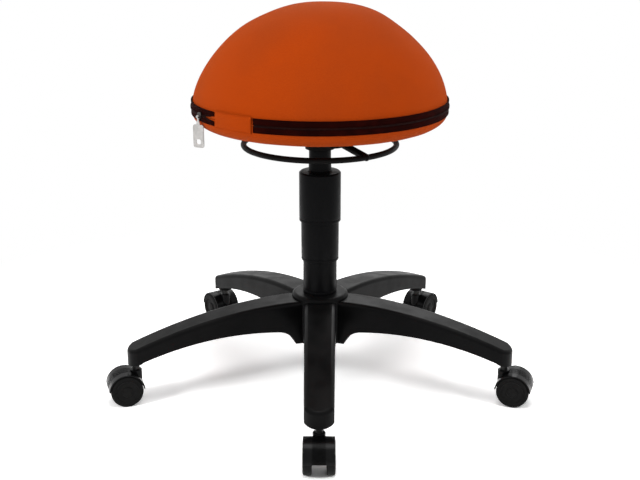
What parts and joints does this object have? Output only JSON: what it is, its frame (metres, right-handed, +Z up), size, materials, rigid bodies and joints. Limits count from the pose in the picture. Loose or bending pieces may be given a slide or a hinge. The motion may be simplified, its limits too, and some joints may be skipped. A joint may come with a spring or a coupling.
{
  "type": "wobble stool",
  "caption": "Height-adjustable wobble stool with a padded half-ball seat on a tilting rubber mount, ring release lever, telescopic column cover and a star base on twin-wheel castors.",
  "frame": {"origin": "on the floor, on the column's axis", "axes": "+Z up along the column; one leg points along -Y, which is the front; the release lever's arm leaves to the front right"},
  "size_m": [0.6702, 0.6374, 0.6045],
  "materials": {
    "orange_cloth": "woven stretch cloth, matt",
    "zip_cloth": "woven zip tape, near black",
    "zip_plastic": "moulded zip coil",
    "slider_metal": "black lacquered zip slider",
    "pull_metal": "light grey lacquered zip pull",
    "foam": "moulded polyurethane foam",
    "plywood": "moulded beech plywood",
    "zinc_steel": "zinc plated",
    "black_steel": "black powder coat",
    "bright_steel": "ground and polished",
    "rubber": "bonded natural rubber",
    "black_nylon": "fine-grained glass-filled nylon",
    "cover_plastic": "satin black cover",
    "bush_plastic": "acetal",
    "wheel_plastic": "black tread and wheel"
  },
  "bodies": {
    "base": {"star_base": "black_nylon", "stand_tube": "black_steel", "cover_lower": "cover_plastic", "guide_bush": "bush_plastic", "lower_race": "zinc_steel", "bearing_balls": "bright_steel", "castor_1_stem": "zinc_steel", "castor_2_stem": "zinc_steel", "castor_3_stem": "zinc_steel", "castor_4_stem": "zinc_steel", "castor_5_stem": "zinc_steel"},
    "rod": {"piston_rod": "bright_steel", "piston": "bush_plastic", "rod_clip": "zinc_steel", "upper_race": "zinc_steel", "bump_stop": "rubber"},
    "inner_cover": {"cover_inner": "cover_plastic"},
    "spring_head": {"pressure_tube": "black_steel", "rod_guide": "bush_plastic", "cover_outer": "cover_plastic", "spring_socket": "black_steel", "swing_housing": "black_steel", "lever_pivot_pin": "zinc_steel"},
    "lever": {"release_lever": "black_steel", "release_ring": "black_steel"},
    "valve_pin": {"release_pin": "bright_steel"},
    "mount": {"rubber_mount": "rubber"},
    "seat": {"seat_cover": "orange_cloth", "seat_cover_base": "orange_cloth", "zip_tape": "zip_cloth", "zip_coil": "zip_plastic", "closure_tab": "orange_cloth", "seat_foam": "foam", "seat_board": "plywood", "board_inserts": "zinc_steel", "seat_screws": "zinc_steel", "seat_plate": "black_steel"},
    "zip_slider": {"zip_slider": "slider_metal"},
    "zip_pull": {"zip_pull": "pull_metal"},
    "castor_1": {"castor_1_housing": "black_nylon", "castor_1_axle": "zinc_steel"},
    "castor_1_left": {"castor_1_wheel_left": "wheel_plastic"},
    "castor_1_right": {"castor_1_wheel_right": "wheel_plastic"},
    "castor_2": {"castor_2_housing": "black_nylon", "castor_2_axle": "zinc_steel"},
    "castor_2_left": {"castor_2_wheel_left": "wheel_plastic"},
    "castor_2_right": {"castor_2_wheel_right": "wheel_plastic"},
    "castor_3": {"castor_3_housing": "black_nylon", "castor_3_axle": "zinc_steel"},
    "castor_3_left": {"castor_3_wheel_left": "wheel_plastic"},
    "castor_3_right": {"castor_3_wheel_right": "wheel_plastic"},
    "castor_4": {"castor_4_housing": "black_nylon", "castor_4_axle": "zinc_steel"},
    "castor_4_left": {"castor_4_wheel_left": "wheel_plastic"},
    "castor_4_right": {"castor_4_wheel_right": "wheel_plastic"},
    "castor_5": {"castor_5_housing": "black_nylon", "castor_5_axle": "zinc_steel"},
    "castor_5_left": {"castor_5_wheel_left": "wheel_plastic"},
    "castor_5_right": {"castor_5_wheel_right": "wheel_plastic"}
  },
  "joints": [
    {"name": "seat_swivel", "type": "hinge", "parent": "base", "child": "rod", "pos_m": [0, 0, 0.08], "axis": [0, 0, 1], "continuous": true},
    {"name": "seat_lift", "type": "slide", "parent": "rod", "child": "spring_head", "axis": [0, 0, 1], "range_m": [-0.075, 0.045]},
    {"name": "cover_slide", "type": "slide", "parent": "rod", "child": "inner_cover", "axis": [0, 0, 1], "range_m": [-0.0375, 0.0225]},
    {"name": "lever_pull", "type": "hinge", "parent": "spring_head", "child": "lever", "pos_m": [0.01271, -0.01795, 0.4373], "axis": [-0.8161, -0.5779, 0], "range_deg": [0, 5], "stiffness_Nm_per_rad": 15, "springref_deg": -5.73},
    {"name": "pin_press", "type": "slide", "parent": "spring_head", "child": "valve_pin", "axis": [0, 0, -1], "range_m": [0, 0.0022]},
    {"name": "wobble_fore_aft", "type": "hinge", "parent": "spring_head", "child": "mount", "pos_m": [0, 0, 0.4355], "axis": [1, 0, 0], "range_deg": [-3.5, 3.5], "stiffness_Nm_per_rad": 120, "deforming": ["rubber_mount"]},
    {"name": "wobble_side", "type": "hinge", "parent": "mount", "child": "seat", "pos_m": [0, 0, 0.4355], "axis": [0, 1, 0], "range_deg": [-3.5, 3.5], "stiffness_Nm_per_rad": 120, "deforming": ["rubber_mount"]},
    {"name": "zip_run", "type": "hinge", "parent": "seat", "child": "zip_slider", "pos_m": [0, 0, 0.4522], "axis": [0, 0, 1], "range_deg": [-315, 0]},
    {"name": "pull_swing", "type": "hinge", "parent": "zip_slider", "child": "zip_pull", "pos_m": [-0.17524, -0.09514, 0.4492], "axis": [-0.4772, 0.8788, 0], "range_deg": [-5, 100]},
    {"name": "castor_1_swivel", "type": "hinge", "parent": "base", "child": "castor_1", "pos_m": [0, -0.3, 0.045], "axis": [0, 0, 1], "continuous": true},
    {"name": "castor_1_roll_left", "type": "hinge", "parent": "castor_1", "child": "castor_1_left", "pos_m": [0, -0.3175, 0.025], "axis": [1, 0, 0], "continuous": true},
    {"name": "castor_1_roll_right", "type": "hinge", "parent": "castor_1", "child": "castor_1_right", "pos_m": [0, -0.3175, 0.025], "axis": [1, 0, 0], "continuous": true},
    {"name": "castor_2_swivel", "type": "hinge", "parent": "base", "child": "castor_2", "pos_m": [0.28532, -0.0927, 0.045], "axis": [0, 0, 1], "continuous": true},
    {"name": "castor_2_roll_left", "type": "hinge", "parent": "castor_2", "child": "castor_2_left", "pos_m": [0.30196, -0.09811, 0.025], "axis": [0.309, 0.9511, 0], "continuous": true},
    {"name": "castor_2_roll_right", "type": "hinge", "parent": "castor_2", "child": "castor_2_right", "pos_m": [0.30196, -0.09811, 0.025], "axis": [0.309, 0.9511, 0], "continuous": true},
    {"name": "castor_3_swivel", "type": "hinge", "parent": "base", "child": "castor_3", "pos_m": [0.17634, 0.24271, 0.045], "axis": [0, 0, 1], "continuous": true},
    {"name": "castor_3_roll_left", "type": "hinge", "parent": "castor_3", "child": "castor_3_left", "pos_m": [0.18662, 0.25686, 0.025], "axis": [-0.809, 0.5878, 0], "continuous": true},
    {"name": "castor_3_roll_right", "type": "hinge", "parent": "castor_3", "child": "castor_3_right", "pos_m": [0.18662, 0.25686, 0.025], "axis": [-0.809, 0.5878, 0], "continuous": true},
    {"name": "castor_4_swivel", "type": "hinge", "parent": "base", "child": "castor_4", "pos_m": [-0.17634, 0.24271, 0.045], "axis": [0, 0, 1], "continuous": true},
    {"name": "castor_4_roll_left", "type": "hinge", "parent": "castor_4", "child": "castor_4_left", "pos_m": [-0.18662, 0.25686, 0.025], "axis": [-0.809, -0.5878, 0], "continuous": true},
    {"name": "castor_4_roll_right", "type": "hinge", "parent": "castor_4", "child": "castor_4_right", "pos_m": [-0.18662, 0.25686, 0.025], "axis": [-0.809, -0.5878, 0], "continuous": true},
    {"name": "castor_5_swivel", "type": "hinge", "parent": "base", "child": "castor_5", "pos_m": [-0.28532, -0.0927, 0.045], "axis": [0, 0, 1], "continuous": true},
    {"name": "castor_5_roll_left", "type": "hinge", "parent": "castor_5", "child": "castor_5_left", "pos_m": [-0.30196, -0.09811, 0.025], "axis": [0.309, -0.9511, 0], "continuous": true},
    {"name": "castor_5_roll_right", "type": "hinge", "parent": "castor_5", "child": "castor_5_right", "pos_m": [-0.30196, -0.09811, 0.025], "axis": [0.309, -0.9511, 0], "continuous": true}
  ],
  "couplings": [
    {"joint": "cover_slide", "follows": "seat_lift", "ratio": 0.5},
    {"joint": "pin_press", "follows": "lever_pull", "m_per_rad": 0.0235}
  ]
}
